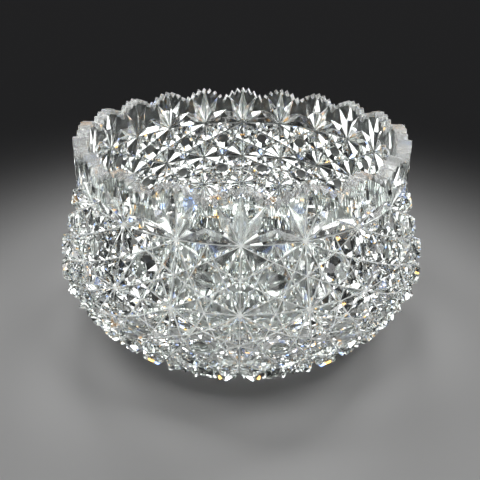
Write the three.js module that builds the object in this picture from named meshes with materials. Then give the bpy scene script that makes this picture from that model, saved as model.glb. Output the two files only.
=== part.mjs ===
// A cut-crystal punch bowl: one thick piece of clear glass that stands on its own foot ring.
// Millimetres, +Z up, origin at the middle of the foot ring. Column 0 of the cut stars faces -Y.
import * as THREE from "three";

// Driving dimensions
const COLUMNS = 20; // columns of stars round the bowl, one under each scallop of the rim
const ROW_PITCH = 42.3; // from one row of stars to the next, measured down the wall
const STAR_ROW_Z = 137.4; // height of the top row of stars
const GROOVE_DEPTH = 5.6; // depth of each mitre groove
const GROOVE_HALF_WIDTH = 0.1; // half its width, in parts of a column or row
const RIM_PEAK_Z = 171; // height of the tooth tips at the top of a scallop
const RIM_VALLEY_Z = 162; // height that the line of tooth tips falls to between two scallops
const RIM_OUTER_RADIUS = 125.4;
const RIM_INNER_RADIUS = 116.4;
const TEETH_PER_SCALLOP = 7;
const TOOTH_DEPTH = 4.2;
const FOOT_RADIUS = 82; // outer edge of the flat ring that the bowl rests on
const PLAIN_FOOT_ROWS = 0.2; // the uncut band above the foot, in rows
const BASE_STAR_RADIUS = 60; // tips of the star cut into the underside, inside the foot ring
const BASE_STAR_DEPTH = 4; // depth of that star at its middle

// How finely the surfaces are divided
const STEPS_PER_COLUMN = 4; // the cut surface, both round the bowl and down it
const RIM_STEPS = 2 * TEETH_PER_SCALLOP; // a tip and a root for each tooth
const INNER_STEPS = 3; // the plain inside, round each column

// Outer outline from the rim down to the foot, and inner outline down to the middle, as [radius, z].
const outerCurve = spline([
  [RIM_OUTER_RADIUS, RIM_PEAK_Z],
  [129.7, STAR_ROW_Z],
  [143.4, 96.4],
  [150, 79.3],
  [146.1, 56.3],
  [119.7, 19.3],
  [FOOT_RADIUS, 0],
]);
const innerCurve = spline([
  [RIM_INNER_RADIUS, RIM_PEAK_Z],
  [119.6, 140],
  [132, 97],
  [138.4, 79],
  [134.5, 57],
  [113, 30],
  [74, 15.5],
  [0, 13],
]);

function spline(points) {
  const curve = new THREE.SplineCurve(points.map(([r, z]) => new THREE.Vector2(r, z)));
  curve.arcLengthDivisions = 400;
  return curve;
}

// The fraction of a falling outline's length at which it reaches a height.
function fractionAtHeight(curve, z) {
  let above = 0;
  let below = 1;
  for (let i = 0; i < 40; i++) {
    const middle = (above + below) / 2;
    if (curve.getPointAt(middle).y > z) above = middle;
    else below = middle;
  }
  return above;
}

const starRowFraction = fractionAtHeight(outerCurve, STAR_ROW_Z);
const rowFraction = ROW_PITCH / outerCurve.getLength();
const lastRow = (1 - starRowFraction) / rowFraction; // the row number that the foot's edge has

// A point in space from its radius, its height and its place round the bowl counted in columns.
function around(radius, z, column) {
  const angle = (column * 2 * Math.PI) / COLUMNS;
  return new THREE.Vector3(radius * Math.sin(angle), -radius * Math.cos(angle), z);
}

// Distance from a point to the nearest whole column.
function fromColumn(column) {
  return Math.abs(column - Math.round(column));
}

// Each family of mitres runs through every star: across, down, and along four slants.
const MITRE_FAMILIES = [[0, 1], [1, 0], [1, 2], [1, -2], [2, 1], [2, -1]];

function latticeDepth(column, row) {
  const nearest = MITRE_FAMILIES.map(([a, b]) => fromColumn(a * column + b * row) / Math.hypot(a, b));
  return Math.max(0, 1 - Math.min(...nearest) / GROOVE_HALF_WIDTH) * GROOVE_DEPTH;
}

// Above the top row each star throws only five rays: [columns across, rows up] of each ray's tip.
// The two shallow ones cross their neighbours half way between two columns.
const UPPER_RAYS = [[0, 0.78], [0.34, 0.6], [0.8, 0.4]];

function upperRayDepth(column, row) {
  const across = fromColumn(column);
  const depths = UPPER_RAYS.map(([tipAcross, tipUp]) => {
    const length = Math.hypot(tipAcross, tipUp);
    const along = (across * tipAcross - row * tipUp) / (length * length);
    const aside = Math.abs(across * tipUp + row * tipAcross) / length;
    return 1 - along - aside / GROOVE_HALF_WIDTH;
  });
  return Math.max(0, ...depths) * GROOVE_DEPTH;
}

// A point on the cut outside, given its column and row; row 0 is the top row of stars.
function outerPoint(column, row) {
  const fraction = Math.min(1, Math.max(0, starRowFraction + row * rowFraction));
  const { x: radius, y: z } = outerCurve.getPointAt(fraction);
  const tangent = outerCurve.getTangentAt(fraction); // runs down the outline
  const depth = row < 0 ? upperRayDepth(column, row) : latticeDepth(column, row);
  return around(radius + tangent.y * depth, z - tangent.x * depth, column);
}

// The scallops: one arch over each column of stars.
function scallopHeight(column) {
  return RIM_VALLEY_Z + (RIM_PEAK_Z - RIM_VALLEY_Z) * Math.cos(Math.PI * fromColumn(column));
}

function evenSteps(count, makePoint) {
  return Array.from({ length: count }, (_, i) => makePoint((i * COLUMNS) / count, i));
}

function cutRing(row) {
  return evenSteps(COLUMNS * STEPS_PER_COLUMN, (column) => outerPoint(column, row));
}

// A ring part of the way up from the top row of stars to the roots of the rim's teeth.
function panelRing(part) {
  return evenSteps(COLUMNS * STEPS_PER_COLUMN, (column) => {
    const roots = fractionAtHeight(outerCurve, scallopHeight(column) - TOOTH_DEPTH);
    return outerPoint(column, (part * (roots - starRowFraction)) / rowFraction);
  });
}

// One edge of the rim: tooth tips on the scallops, with a root between each two.
function toothedRing(curve) {
  return evenSteps(COLUMNS * RIM_STEPS, (column, i) => {
    const z = scallopHeight(column) - (i % 2 ? TOOTH_DEPTH : 0);
    return around(curve.getPointAt(fractionAtHeight(curve, z)).x, z, column);
  });
}

function plainRing(radius, z) {
  return evenSteps(COLUMNS * INNER_STEPS, (column) => around(radius, z, column));
}

// The underside inside the foot ring: a groove along each column, deepest at the middle.
function baseStarRing(radius) {
  const halfColumn = Math.PI / COLUMNS;
  return evenSteps(COLUMNS * STEPS_PER_COLUMN, (column) => {
    const aside = radius * Math.sin(2 * halfColumn * fromColumn(column));
    return around(radius, Math.max(0, BASE_STAR_DEPTH * (1 - radius / BASE_STAR_RADIUS) - aside), column);
  });
}

// Rings from the middle of the underside, out and up the wall, over the rim and down the inside.
function allRings() {
  const baseRadii = [0.25, 0.5, 0.75, 1].map((part) => part * BASE_STAR_RADIUS);
  const quarterRows = Math.floor((lastRow - PLAIN_FOOT_ROWS) * STEPS_PER_COLUMN);
  const wallRows = Array.from({ length: quarterRows + 1 }, (_, i) => (quarterRows - i) / STEPS_PER_COLUMN);
  const innerTop = fractionAtHeight(innerCurve, RIM_VALLEY_Z - 2 * TOOTH_DEPTH);
  const innerRings = 14;
  const innerFractions = Array.from({ length: innerRings }, (_, i) => innerTop + ((1 - innerTop) * i) / innerRings);
  return [
    [around(0, BASE_STAR_DEPTH, 0)],
    ...baseRadii.map(baseStarRing),
    evenSteps(COLUMNS * STEPS_PER_COLUMN, (column) => around(FOOT_RADIUS, 0, column)),
    ...wallRows.map(cutRing),
    panelRing(0.35),
    panelRing(0.7),
    toothedRing(outerCurve),
    toothedRing(innerCurve),
    ...innerFractions.map((fraction) => {
      const { x: radius, y: z } = innerCurve.getPointAt(fraction);
      return plainRing(radius, z);
    }),
    [around(0, innerCurve.getPointAt(1).y, 0)],
  ];
}

// Triangles between two rings, which may have different numbers of points; a ring of one is a tip.
// Between rings with as many points, the diagonals alternate, so that the cuts are symmetrical.
function stitch(lower, upper, phase) {
  const triangles = [];
  let i = 0;
  let j = 0;
  while (i < lower.length || j < upper.length) {
    const lowerNext = (i + 1) / lower.length;
    const upperNext = (j + 1) / upper.length;
    const lowerFirst = lowerNext === upperNext ? (i + phase) % 2 === 1 : lowerNext < upperNext;
    const a = lower[i % lower.length];
    const b = upper[j % upper.length];
    if (lowerFirst) triangles.push([a, lower[++i % lower.length], b]);
    else triangles.push([a, upper[++j % upper.length], b]);
  }
  return triangles.filter(([p, q, r]) => p !== q && q !== r && r !== p);
}

function bowlGeometry() {
  const rings = allRings();
  const triangles = rings.slice(1).flatMap((ring, i) => stitch(rings[i], ring, i));
  return new THREE.BufferGeometry().setFromPoints(triangles.flat());
}

const crystal = new THREE.MeshStandardMaterial({
  color: 0xe4edea,
  roughness: 0.05,
  metalness: 0,
  transparent: true,
  opacity: 0.6,
  flatShading: true,
});

const bowl = new THREE.Mesh(bowlGeometry(), crystal);
bowl.name = "bowl";

const punchBowl = new THREE.Group();
punchBowl.add(bowl);

export default punchBowl;
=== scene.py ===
"""A cut-crystal punch bowl on a pale floor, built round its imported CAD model.

The bowl is one piece of glass. Its cutting is worked out flat, as convex facets between straight
lines in columns and rows of stars, and is then wrapped round the bowl's outline.
"""
import math
from typing import NamedTuple

import bmesh
import bpy
from mathutils import Matrix, Vector


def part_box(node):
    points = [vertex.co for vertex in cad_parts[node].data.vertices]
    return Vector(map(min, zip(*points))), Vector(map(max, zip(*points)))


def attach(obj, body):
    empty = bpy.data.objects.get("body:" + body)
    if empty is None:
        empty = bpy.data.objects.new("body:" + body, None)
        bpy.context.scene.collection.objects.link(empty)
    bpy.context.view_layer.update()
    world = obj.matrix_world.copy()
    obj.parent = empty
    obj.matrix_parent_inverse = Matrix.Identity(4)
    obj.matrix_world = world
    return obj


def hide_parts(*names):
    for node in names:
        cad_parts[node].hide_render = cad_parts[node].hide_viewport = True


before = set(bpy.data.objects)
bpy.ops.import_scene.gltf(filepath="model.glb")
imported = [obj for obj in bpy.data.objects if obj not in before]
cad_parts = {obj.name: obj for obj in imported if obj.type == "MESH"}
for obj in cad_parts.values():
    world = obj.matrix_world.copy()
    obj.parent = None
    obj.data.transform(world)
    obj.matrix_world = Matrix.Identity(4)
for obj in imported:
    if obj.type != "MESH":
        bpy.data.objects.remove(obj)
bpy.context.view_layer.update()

# The bowl's sizes, in metres. A place on its outside is (column, row): column 0 faces -Y, row 0 is
# the top row of stars, and rows count downwards.
LOW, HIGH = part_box("bowl")
HEIGHT = HIGH.z - LOW.z
COLUMNS = 20
ROW_PITCH = 0.0423
STAR_ROW_Z = 0.1374
GROOVE_DEPTH = 0.0056
GROOVE_HALF_WIDTH = 0.1  # in columns or rows
GROOVE_FLOOR = 0.928  # each groove has a narrow flat floor at this share of its full depth
FADE_ROWS = 0.08  # the cuts run out this far above the foot
TEETH_PER_SCALLOP = 7
TOOTH_DEPTH = 0.0042
SCALLOP_HEIGHT = 0.009
FOOT_RADIUS = 0.082
BASE_STAR_RADIUS = 0.060
BASE_STAR_RIDGE_RADIUS = 0.027
BASE_STAR_DEPTH = 0.004

# Outlines as (radius, height), from the rim down.
OUTER_OUTLINE = [
    (0.1254, HEIGHT), (0.1297, STAR_ROW_Z), (0.1434, 0.0964), (0.1500, 0.0793),
    (0.1461, 0.0563), (0.1197, 0.0193), (FOOT_RADIUS, 0.0),
]
INNER_OUTLINE = [
    (0.1164, HEIGHT), (0.1196, 0.1400), (0.1320, 0.0970), (0.1384, 0.0790),
    (0.1345, 0.0570), (0.1130, 0.0300), (0.0740, 0.0155), (0.0, 0.0130),
]

# Each family (a, b) of mitres follows the lines where a * column + b * row is a whole number. All
# six pass through every star: across, down, and along four slants.
MITRE_FAMILIES = [(0, 1), (1, 0), (1, 2), (1, -2), (2, 1), (2, -1)]

# The rays that a star of the top row throws upwards: the (across, down) direction of each, how far
# it keeps its full depth, and how far it reaches. All but the upright one have a twin on the left.
UPPER_RAYS = [((0, -1), 0.42, 0.78), ((0.57, -1), 0.36, 0.69), ((2, -1), 0.30, 0.64)]

# The bowl's material slots, in the order in which its materials are added.
POLISHED, GROOVE_FROST, RIM_FROST, RAY_SATIN = range(4)
GLASS_INDEX = 1.55  # the refractive index of lead crystal

# How finely the surfaces are divided.
OUTLINE_SAMPLES = 1200
HALVINGS = 40  # of an outline's length, to find where it reaches a height
SEAM_ROW = -0.45  # above this row, the panels under the rim have a strip for each side of a tooth
INNER_RINGS = 44
BELOW_TEETH = 0.001  # from the lowest root of a tooth to the first ring of the inside, in metres

# How near counts as touching.
SMALLEST_FACET = 1e-7  # in square columns; slivers below it are dropped
ON_LINE = 1e-9  # a point is on a line if the line's value there is no more than this
SHALLOWEST = 1e-6  # a wall that gets no deeper than this share of the full depth isn't there
CORNER_DIGITS = 7  # decimals that tell corners apart
NEAR = 2e-6  # in columns or rows, from a corner to an edge that it is on
SEARCH_SQUARE = 0.05  # in columns or rows, the side of a square of the search for corners on edges
MERGE_DISTANCE = 2e-5  # in metres, between corners that become one

# Lights, with sizes and places in metres. A radiance is what a light shows straight ahead.
WHITE = (1, 1, 1)
BLUE = (0.3, 0.45, 1.0)
ORANGE = (1.0, 0.5, 0.12)
THROUGH_HEIGHT = 1.2
THROUGH_SIZE = (0.14, 0.14)
THROUGH_RADIANCE = 280.0
THROUGH_SPREAD = math.radians(8.6)
WORLD_COLOUR = (0.02, 0.02, 0.021, 1)


class LightRing(NamedTuple):
    """Soft lights spaced evenly round the bowl and aimed at it."""

    name: str
    count: int
    turn: float  # how far round the first light stands, in steps from one light to the next
    reach: float  # from the bowl's axis
    height: float
    size: tuple  # width and height of each light
    radiance: float
    tints: tuple = (WHITE,)  # the lights take these in turn
    spread: float = math.pi
    glass_only: bool = True  # False for the lights that reach the floor too


LIGHT_RINGS = [
    LightRing("low", 9, 0.3, reach=1.0, height=0.15, size=(0.4, 0.4), radiance=2.1),
    LightRing("mid", 9, 0.8, reach=0.8, height=0.6, size=(0.3, 0.3), radiance=3.7),
    LightRing("tint", 12, 0.1, reach=0.75, height=0.8, size=(0.16, 0.16), radiance=4.0,
              tints=(BLUE, ORANGE)),
    LightRing("pool", 6, 0.8, reach=0.5, height=0.95, size=(0.45, 0.3), radiance=7.5,
              spread=math.radians(34), glass_only=False),
]

CAMERA_PLACE = (0.0006, -0.3550, 0.2768)
CAMERA_PITCH = 0.5352  # radians below the horizon
CAMERA_YAW = 0.0045  # radians to the left of +Y
CAMERA_ROLL = 0.009  # radians
CAMERA_LENS = 34.85  # millimetres
SENSOR_WIDTH = 36  # millimetres
CLIP_START = 0.01  # metres


# Outlines

class Outline:
    """A smooth curve through a few points, measured along its length from the top."""

    def __init__(self, points):
        last = len(points) - 1
        self.samples = []
        for i in range(OUTLINE_SAMPLES + 1):
            place = i / OUTLINE_SAMPLES * last
            k = min(int(place), last - 1)
            p0, p1, p2, p3 = (points[max(0, min(last, k + j))] for j in (-1, 0, 1, 2))
            self.samples.append([self.catmull_rom(place - k, *q) for q in zip(p0, p1, p2, p3)])
        self.lengths = [0.0]
        for a, b in zip(self.samples, self.samples[1:]):
            self.lengths.append(self.lengths[-1] + math.dist(a, b))
        self.length = self.lengths[-1]

    @staticmethod
    def catmull_rom(t, a, b, c, d):
        v0, v1 = (c - a) / 2, (d - b) / 2
        return (2 * (b - c) + v0 + v1) * t**3 + (3 * (c - b) - 2 * v0 - v1) * t**2 + v0 * t + b

    def at(self, distance):
        """The radius and height at a distance from the top, then the outward normal's two parts."""
        low, high = 0, OUTLINE_SAMPLES
        while high - low > 1:
            middle = (low + high) // 2
            low, high = (middle, high) if self.lengths[middle] <= distance else (low, middle)
        (r0, z0), (r1, z1) = self.samples[low], self.samples[high]
        step = self.lengths[high] - self.lengths[low]
        t = (distance - self.lengths[low]) / step
        return r0 + (r1 - r0) * t, z0 + (z1 - z0) * t, (z0 - z1) / step, (r1 - r0) / step

    def distance_at_height(self, z):
        low, high = 0.0, self.length
        for _ in range(HALVINGS):
            middle = (low + high) / 2
            low, high = (middle, high) if self.at(middle)[1] > z else (low, middle)
        return low


OUTER = Outline(OUTER_OUTLINE)
INNER = Outline(INNER_OUTLINE)
STAR_ROW_DISTANCE = OUTER.distance_at_height(STAR_ROW_Z)
LAST_ROW = (OUTER.length - STAR_ROW_DISTANCE) / ROW_PITCH  # where the wall meets the foot ring


def around(radius, z, column):
    """The place in space at a radius, a height and a column."""
    angle = column * 2 * math.pi / COLUMNS
    return (radius * math.sin(angle), -radius * math.cos(angle), z)


def outer_point(column, row, depth):
    """A place on the wall, sunk by a share of the full groove depth."""
    distance = min(OUTER.length, max(0.0, STAR_ROW_DISTANCE + row * ROW_PITCH))
    radius, z, out, up = OUTER.at(distance)
    sunk = depth * GROOVE_DEPTH * min(1.0, (LAST_ROW - row) / FADE_ROWS)
    return around(radius - out * sunk, z - up * sunk, column)


# Flat convex polygons in the (column, row) plane, cut by straight lines. A line or a depth is a plane
# (a, b, c), with the value a * column + b * row + c.

def value(plane, point):
    return plane[0] * point[0] + plane[1] * point[1] + plane[2]


def minus(a, b):
    return tuple(x - y for x, y in zip(a, b))


def edges_of(polygon):
    return zip(polygon, polygon[1:] + polygon[:1])


def is_facet(polygon):
    """Whether a polygon is more than a sliver."""
    twice_area = sum(p[0] * q[1] - q[0] * p[1] for p, q in edges_of(polygon))
    return len(polygon) > 2 and abs(twice_area) / 2 > SMALLEST_FACET


def centre_of(polygon):
    return tuple(sum(p[i] for p in polygon) / len(polygon) for i in (0, 1))


def rectangle(column0, row0, column1, row1):
    return [(column0, row0), (column1, row0), (column1, row1), (column0, row1)]


def clip(polygon, plane):
    """The part of a polygon where the plane's value is not negative."""
    kept = []
    for p, q in edges_of(polygon):
        vp, vq = value(plane, p), value(plane, q)
        if vp >= -ON_LINE:
            kept.append(p)
        if min(vp, vq) < -ON_LINE and max(vp, vq) > ON_LINE:
            t = vp / (vp - vq)
            kept.append((p[0] + (q[0] - p[0]) * t, p[1] + (q[1] - p[1]) * t))
    return kept


def split(polygons, line):
    """Every polygon cut in two where the line crosses it."""
    other_side = tuple(-x for x in line)
    halves = [clip(polygon, side) for polygon in polygons for side in (line, other_side)]
    return [half for half in halves if is_facet(half)]


class Mitre:
    """A V groove along a straight line.

    A ray has a hold and a reach, measured along it from its star: it keeps its full depth as far as
    the hold, and runs out at the reach.
    """

    def __init__(self, start, along, hold=None, reach=None):
        length = math.hypot(*along)
        dx, dy = along[0] / length, along[1] / length
        self.line = (-dy, dx, dy * start[0] - dx * start[1])
        self.travel = (dx, dy, -dx * start[0] - dy * start[1])
        self.hold = hold
        self.reach = reach

    def cutting_lines(self):
        if self.reach is None:
            return [self.line]
        return [self.line, minus(self.travel, (0, 0, self.hold))]

    def wall(self, at):
        """The plane of the groove wall over a point: its depth as a share of the full depth."""
        side = 1 if value(self.line, at) > 0 else -1
        wall = tuple(-side * x / GROOVE_HALF_WIDTH for x in self.line)
        if self.reach is None or value(self.travel, at) < self.hold:
            return (wall[0], wall[1], wall[2] + 1)
        slope = -1 / (self.reach - self.hold)
        ends = (0, 0, -slope * self.reach)
        return tuple(w + slope * t + e for w, t, e in zip(wall, self.travel, ends))


def facets(region, mitres):
    """The flat facets that a set of mitres leaves in a region, as (polygon, depth)."""
    cells = [region]
    for mitre in mitres:
        for line in mitre.cutting_lines():
            cells = split(cells, line)
    uncut = (0.0, 0.0, 0.0)
    floor = (0.0, 0.0, GROOVE_FLOOR)
    made = []
    for cell in cells:
        walls = [mitre.wall(centre_of(cell)) for mitre in mitres]
        planes = [uncut]
        planes += [wall for wall in walls if max(value(wall, p) for p in cell) > SHALLOWEST]
        for plane in planes:
            deepest = cell
            for other in planes:
                if other is not plane:
                    deepest = clip(deepest, minus(plane, other))
            made.append((clip(deepest, minus(plane, floor)), floor))
            made.append((clip(deepest, minus(floor, plane)), plane))
    return [(polygon, depth) for polygon, depth in made if is_facet(polygon)]


# The cutting, one column wide

def lattice_mitres():
    """Every mitre that reaches one square between four stars."""
    mitres = []
    for a, b in MITRE_FAMILIES:
        squared = a * a + b * b
        at_corners = (0, a, b, a + b)
        for k in range(min(at_corners), max(at_corners) + 1):
            mitres.append(Mitre((a * k / squared, b * k / squared), (b, -a)))
    return mitres


def panel_mitres():
    """The top row's mitre across, and the rays that reach the panel between two columns."""
    mitres = [Mitre((0, 0), (1, 0))]
    for (across, down), hold, reach in UPPER_RAYS:
        mitres.append(Mitre((0, 0), (across, down), hold, reach))
        mitres.append(Mitre((1, 0), (-across, down), hold, reach))
    return mitres


def wall_facets():
    """The all-over star pattern, row after row down to the foot."""
    square = facets(rectangle(0, 0, 1, 1), lattice_mitres())
    made = []
    for row in range(math.ceil(LAST_ROW)):
        for polygon, (a, b, c) in square:
            moved = [(column, r + row) for column, r in polygon]
            moved = clip(moved, (0, -1, LAST_ROW))
            if is_facet(moved):
                made.append((moved, (a, b, c - b * row)))
    return made


def rim_height(column, root):
    """The height of the rim's edge at a column, at a tooth's tip or its root."""
    fall = 1 - math.cos(math.pi * (column - round(column)))
    return HEIGHT - SCALLOP_HEIGHT * fall - (TOOTH_DEPTH if root else 0)


def rim_edge():
    """The zigzag of the rim over one column, as (column, row) points from tip to tip."""
    steps = 2 * TEETH_PER_SCALLOP
    edge = []
    for i in range(steps + 1):
        distance = OUTER.distance_at_height(rim_height(i / steps, i % 2))
        edge.append((i / steps, (distance - STAR_ROW_DISTANCE) / ROW_PITCH))
    return edge


def panel_facets():
    """The panel between the top row of stars and the rim, cut off along the zigzag of the teeth."""
    edge = rim_edge()
    made = []
    for polygon, depth in facets(rectangle(0, -1, 1, 0), panel_mitres()):
        made.append((clip(polygon, (0, 1, -SEAM_ROW)), depth))
        above = clip(polygon, (0, -1, SEAM_ROW))
        for (c0, r0), (c1, r1) in zip(edge, edge[1:]):
            slope = (r1 - r0) / (c1 - c0)
            strip = above
            for side in ((1, 0, -c0), (-1, 0, c1), (-slope, 1, slope * c0 - r0)):
                strip = clip(strip, side)
            made.append((strip, depth))
    return [(polygon, depth) for polygon, depth in made if is_facet(polygon)]


def cut_material(polygon, depth):
    """The material slot of a facet: groove floors are frosted and the upper rays are satin."""
    along_row, down_column, level = depth
    if along_row == down_column == 0 and level > 0:
        return GROOVE_FROST
    # The mitre across is as deep all along a row, and it is polished.
    upper_ray = centre_of(polygon)[1] < 0 and along_row != 0
    return RAY_SATIN if upper_ray else POLISHED


# Joining facets, so that neighbours share every corner

def corners_on_line(corners, p, q):
    """Those corners that lie between p and q on the straight line that joins them, in order."""
    length = math.dist(p, q)
    if length < NEAR:
        return []
    dx, dy = q[0] - p[0], q[1] - p[1]
    found = []
    for corner in corners:
        along = ((corner[0] - p[0]) * dx + (corner[1] - p[1]) * dy) / length
        aside = abs((corner[0] - p[0]) * dy - (corner[1] - p[1]) * dx) / length
        if aside < NEAR < along < length - NEAR:
            found.append((along, corner))
    return [corner for _, corner in sorted(found)]


def squares_near(p, q):
    """The squares of the search grid that the line from p to q may touch."""
    left, right = sorted(int(point[0] // SEARCH_SQUARE) for point in (p, q))
    top, bottom = sorted(int(point[1] // SEARCH_SQUARE) for point in (p, q))
    return [(x, y) for x in range(left - 1, right + 2) for y in range(top - 1, bottom + 2)]


def conform(polygons):
    """Adds to each polygon the corners of its neighbours that lie on its edges."""
    grid = {}
    corners = {tuple(round(x, CORNER_DIGITS) for x in p) for polygon in polygons for p in polygon}
    for corner in corners:
        square = tuple(int(x // SEARCH_SQUARE) for x in corner)
        grid.setdefault(square, []).append(corner)
    result = []
    for polygon in polygons:
        whole = []
        for p, q in edges_of(polygon):
            nearby = [corner for square in squares_near(p, q) for corner in grid.get(square, ())]
            whole += [p, *corners_on_line(nearby, p, q)]
        result.append(whole)
    return result


class Skin:
    """Collects faces whose corners are merged where they meet."""

    def __init__(self):
        self.points = []
        self.index = {}
        self.faces = []
        self.smooth = []
        self.materials = []

    def corner(self, point):
        """The number of the corner at a point, which is a new one if there is none near."""
        key = tuple(round(x / MERGE_DISTANCE) for x in point)
        for dx in (0, 1, -1):
            for dy in (0, 1, -1):
                for dz in (0, 1, -1):
                    found = self.index.get((key[0] + dx, key[1] + dy, key[2] + dz))
                    if found is not None and math.dist(self.points[found], point) < MERGE_DISTANCE:
                        return found
        self.index[key] = len(self.points)
        self.points.append(point)
        return self.index[key]

    def face(self, points, smooth=False, material=POLISHED):
        corners = []
        for point in points:
            corner = self.corner(point)
            if corner not in corners[-1:]:
                corners.append(corner)
        if len(corners) > 1 and corners[0] == corners[-1]:
            corners.pop()
        if len(corners) > 2:
            self.faces.append(corners)
            self.smooth.append(smooth)
            self.materials.append(material)

    def band(self, upper, lower):
        """Smooth faces between two rings with as many points."""
        for i, a in enumerate(upper):
            j = (i + 1) % len(upper)
            self.face([a, lower[i], lower[j], upper[j]], smooth=True)

    def to_mesh(self, name):
        """A mesh with its faces turned outwards. Only an edge between smooth faces is smooth."""
        mesh = bpy.data.meshes.new(name)
        mesh.from_pydata(self.points, [], self.faces)
        mesh.polygons.foreach_set("use_smooth", self.smooth)
        mesh.polygons.foreach_set("material_index", self.materials)
        mesh.update()
        whole = bmesh.new()
        whole.from_mesh(mesh)
        bmesh.ops.recalc_face_normals(whole, faces=whole.faces)
        for edge in whole.edges:
            edge.smooth = all(face.smooth for face in edge.link_faces)
        whole.to_mesh(mesh)
        whole.free()
        return mesh


# The bowl's surfaces

def zigzag_ring(outline):
    """The rim's edge on one of the two outlines: every tooth tip and root, all the way round."""
    steps = 2 * TEETH_PER_SCALLOP
    ring = []
    for i in range(COLUMNS * steps):
        z = rim_height(i / steps, i % 2)
        radius = outline.at(outline.distance_at_height(z))[0]
        ring.append(around(radius, z, i / steps))
    return ring


def add_cut_wall(skin, outlines, depths):
    """The outside, from the rim's edge down to the foot ring."""
    for column in range(COLUMNS):
        for polygon, depth in zip(outlines, depths):
            points = [outer_point(column + c, r, max(0.0, value(depth, (c, r)))) for c, r in polygon]
            skin.face(points, material=cut_material(polygon, depth))


def add_rim_top(skin, corners):
    """The top of the wall, cut across by the teeth from the outer edge to the inner one."""
    inner = zigzag_ring(INNER)
    edge = rim_edge()
    for i, (p, q) in enumerate(zip(edge, edge[1:])):
        outer = [p, *corners_on_line(corners, p, q), q]
        for column in range(COLUMNS):
            j = column * (len(edge) - 1) + i
            top = [outer_point(column + c, r, 0) for c, r in outer]
            skin.face([*top, inner[(j + 1) % len(inner)], inner[j]], material=RIM_FROST)


def add_inside(skin):
    """The smooth inside, from the rim down to its middle."""
    edge = zigzag_ring(INNER)
    count = len(edge)
    start = INNER.distance_at_height(min(z for _, _, z in edge) - BELOW_TEETH)
    for ring in range(INNER_RINGS):
        radius, z, _, _ = INNER.at(start + (INNER.length - start) * ring / INNER_RINGS)
        lower = [around(radius, z, i * COLUMNS / count) for i in range(count)]
        skin.band(edge, lower)
        edge = lower
    bottom = around(0, INNER.at(INNER.length)[1], 0)
    for i, p in enumerate(edge):
        skin.face([p, bottom, edge[(i + 1) % count]], smooth=True)


def add_underside(skin, corners):
    """The flat foot ring and the star cut inside it, one ray under each column of stars."""
    centre = (0, 0, BASE_STAR_DEPTH)
    foot_ends = [(0, LAST_ROW), (1, LAST_ROW)]
    foot_edge = [foot_ends[0], *corners_on_line(corners, *foot_ends), foot_ends[1]]
    for column in range(COLUMNS):
        tips = [around(BASE_STAR_RADIUS, 0, column + c) for c in (0, 1)]
        ridge = around(BASE_STAR_RIDGE_RADIUS, 0, column + 0.5)
        skin.face([centre, tips[0], ridge])
        skin.face([centre, ridge, tips[1]])
        foot = [around(FOOT_RADIUS, 0, column + c) for c, _ in foot_edge]
        skin.face([tips[0], *foot, tips[1], ridge])


def build_bowl():
    pieces = panel_facets() + wall_facets()
    outlines = conform([polygon for polygon, _ in pieces])
    corners = {corner for polygon in outlines for corner in polygon}
    skin = Skin()
    add_cut_wall(skin, outlines, [depth for _, depth in pieces])
    add_rim_top(skin, corners)
    add_inside(skin)
    add_underside(skin, corners)
    bowl = bpy.data.objects.new("cut_glass_bowl", skin.to_mesh("cut_bowl"))
    bpy.context.scene.collection.objects.link(bowl)
    return bowl


# Materials

def new_material(name):
    """A material, and the inputs of its shader."""
    material = bpy.data.materials.new(name)
    material.use_nodes = True
    return material, material.node_tree.nodes["Principled BSDF"].inputs


def node(tree, kind, x, y, **inputs):
    """A node at a place in the editor, with some of its inputs set."""
    made = tree.nodes.new(kind)
    made.location = (x, y)
    for name, setting in inputs.items():
        made.inputs[name.replace("_", " ")].default_value = setting
    return made


def crystal_material():
    """Polished lead crystal: clear, faintly green, and a little less smooth in places."""
    material, shader = new_material("lead_crystal")
    shader["Transmission Weight"].default_value = 1.0
    shader["IOR"].default_value = GLASS_INDEX
    tree = material.node_tree
    place = node(tree, "ShaderNodeTexCoord", -1100, 0)

    cloud = node(tree, "ShaderNodeTexNoise", -850, 250, Scale=9.0, Detail=2.0)
    tint = node(tree, "ShaderNodeValToRGB", -600, 250)
    tint.color_ramp.elements[0].color = (0.925, 0.968, 0.940, 1)
    tint.color_ramp.elements[1].color = (0.962, 0.988, 0.970, 1)
    tree.links.new(place.outputs["Object"], cloud.inputs["Vector"])
    tree.links.new(cloud.outputs["Fac"], tint.inputs["Fac"])
    tree.links.new(tint.outputs["Color"], shader["Base Color"])

    smear = node(tree, "ShaderNodeTexNoise", -850, -50, Scale=60.0, Detail=3.0)
    rough = node(tree, "ShaderNodeMapRange", -600, -50,
                 From_Min=0.45, From_Max=0.75, To_Min=0.02, To_Max=0.06)
    tree.links.new(place.outputs["Object"], smear.inputs["Vector"])
    tree.links.new(smear.outputs["Fac"], rough.inputs["Value"])
    tree.links.new(rough.outputs["Result"], shader["Roughness"])
    return material


def frosted_material(name, clear, roughness):
    """Glass that the wheel left a little rough. The share that isn't clear is white."""
    material, shader = new_material(name)
    shader["Base Color"].default_value = (0.94, 0.975, 0.95, 1)
    shader["Transmission Weight"].default_value = clear
    shader["IOR"].default_value = GLASS_INDEX
    shader["Roughness"].default_value = roughness
    return material


def floor_material():
    material, shader = new_material("pale_floor")
    shader["Base Color"].default_value = (0.75, 0.75, 0.745, 1)
    shader["Roughness"].default_value = 0.6
    return material


# The studio

def add_floor():
    half = 6.0
    mesh = bpy.data.meshes.new("floor")
    mesh.from_pydata([(x, y, 0) for x, y in rectangle(-half, -half, half, half)], [], [(0, 1, 2, 3)])
    floor = bpy.data.objects.new("floor", mesh)
    floor.data.materials.append(floor_material())
    bpy.context.scene.collection.objects.link(floor)
    return floor


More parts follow.
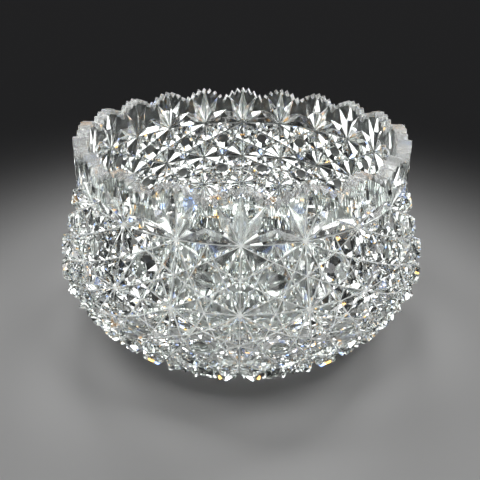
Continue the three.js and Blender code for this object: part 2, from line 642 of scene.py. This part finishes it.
def only_this(piece):
    """A collection that holds one piece, for the lights that reach nothing else."""
    collection = bpy.data.collections.new(f"only_{piece.name}")
    collection.objects.link(piece)
    return collection


def power_share(spread):
    """The power per area that gives a light of unit radiance straight ahead."""
    half = spread / 2
    return math.pi * (1 - half / math.tan(half))


def add_light(name, place, size, radiance, colour, spread, only_on):
    """A soft light aimed at the bowl. With a narrow spread it fades outwards on the floor."""
    data = bpy.data.lights.new(name, "AREA")
    data.shape = "RECTANGLE"
    data.size, data.size_y = size
    data.energy = radiance * size[0] * size[1] * power_share(spread)
    data.color = colour
    data.spread = spread
    light = bpy.data.objects.new(name, data)
    light.location = place
    towards_bowl = Vector((0, 0, HEIGHT / 2)) - Vector(place)
    light.rotation_euler = towards_bowl.to_track_quat("-Z", "Y").to_euler()
    light.visible_camera = False
    light.light_linking.receiver_collection = only_on
    bpy.context.scene.collection.objects.link(light)
    return light


def add_light_rings(glass):
    """Rings of lights, with dark between them, so that some facets flash and others stay dark.

    The tinted ones stand in for the colours that lead crystal splits light into. The pool is the
    only ring that also lights the floor.
    """
    for ring in LIGHT_RINGS:
        for i in range(ring.count):
            angle = 2 * math.pi * (i + ring.turn) / ring.count
            place = (ring.reach * math.sin(angle), ring.reach * math.cos(angle), ring.height)
            tint = ring.tints[i % len(ring.tints)]
            only_on = glass if ring.glass_only else None
            add_light(f"{ring.name}_{i}", place, ring.size, ring.radiance, tint, ring.spread, only_on)


def add_through_light(ground):
    """A light that passes the glass without a shadow, so that the floor under the base is lit."""
    place = (0, 0, THROUGH_HEIGHT)
    light = add_light("through", place, THROUGH_SIZE, THROUGH_RADIANCE, WHITE, THROUGH_SPREAD, ground)
    light.data.use_shadow = False


def set_world():
    world = bpy.data.worlds.new("studio")
    world.use_nodes = True
    world.node_tree.nodes["Background"].inputs["Color"].default_value = WORLD_COLOUR
    bpy.context.scene.world = world
    bpy.context.scene.view_settings.view_transform = "Standard"


def add_camera():
    data = bpy.data.cameras.new("camera")
    data.lens = CAMERA_LENS
    data.sensor_width = SENSOR_WIDTH
    data.clip_start = CLIP_START
    camera = bpy.data.objects.new("camera", data)
    heading = Matrix.Rotation(CAMERA_YAW, 4, "Z")
    tilt = Matrix.Rotation(math.pi / 2 - CAMERA_PITCH, 4, "X")
    roll = Matrix.Rotation(CAMERA_ROLL, 4, "Z")
    camera.matrix_world = Matrix.Translation(CAMERA_PLACE) @ heading @ tilt @ roll
    bpy.context.scene.collection.objects.link(camera)
    bpy.context.scene.camera = camera


def set_light_paths():
    """Cut glass turns light many times. The through light stands in for caustics, which are off."""
    cycles = bpy.context.scene.cycles
    cycles.max_bounces = 32
    cycles.transmission_bounces = 32
    cycles.glossy_bounces = 16
    cycles.caustics_refractive = False
    cycles.caustics_reflective = False


add_camera()
bowl = build_bowl()
bowl.data.materials.append(crystal_material())
bowl.data.materials.append(frosted_material("frosted_groove", clear=0.35, roughness=0.4))
bowl.data.materials.append(frosted_material("frosted_rim", clear=0.8, roughness=0.18))
bowl.data.materials.append(frosted_material("satin_ray", clear=0.95, roughness=0.12))
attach(bowl, "root")
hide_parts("bowl")
floor = add_floor()
add_light_rings(only_this(bowl))
add_through_light(only_this(floor))
set_world()
set_light_paths()
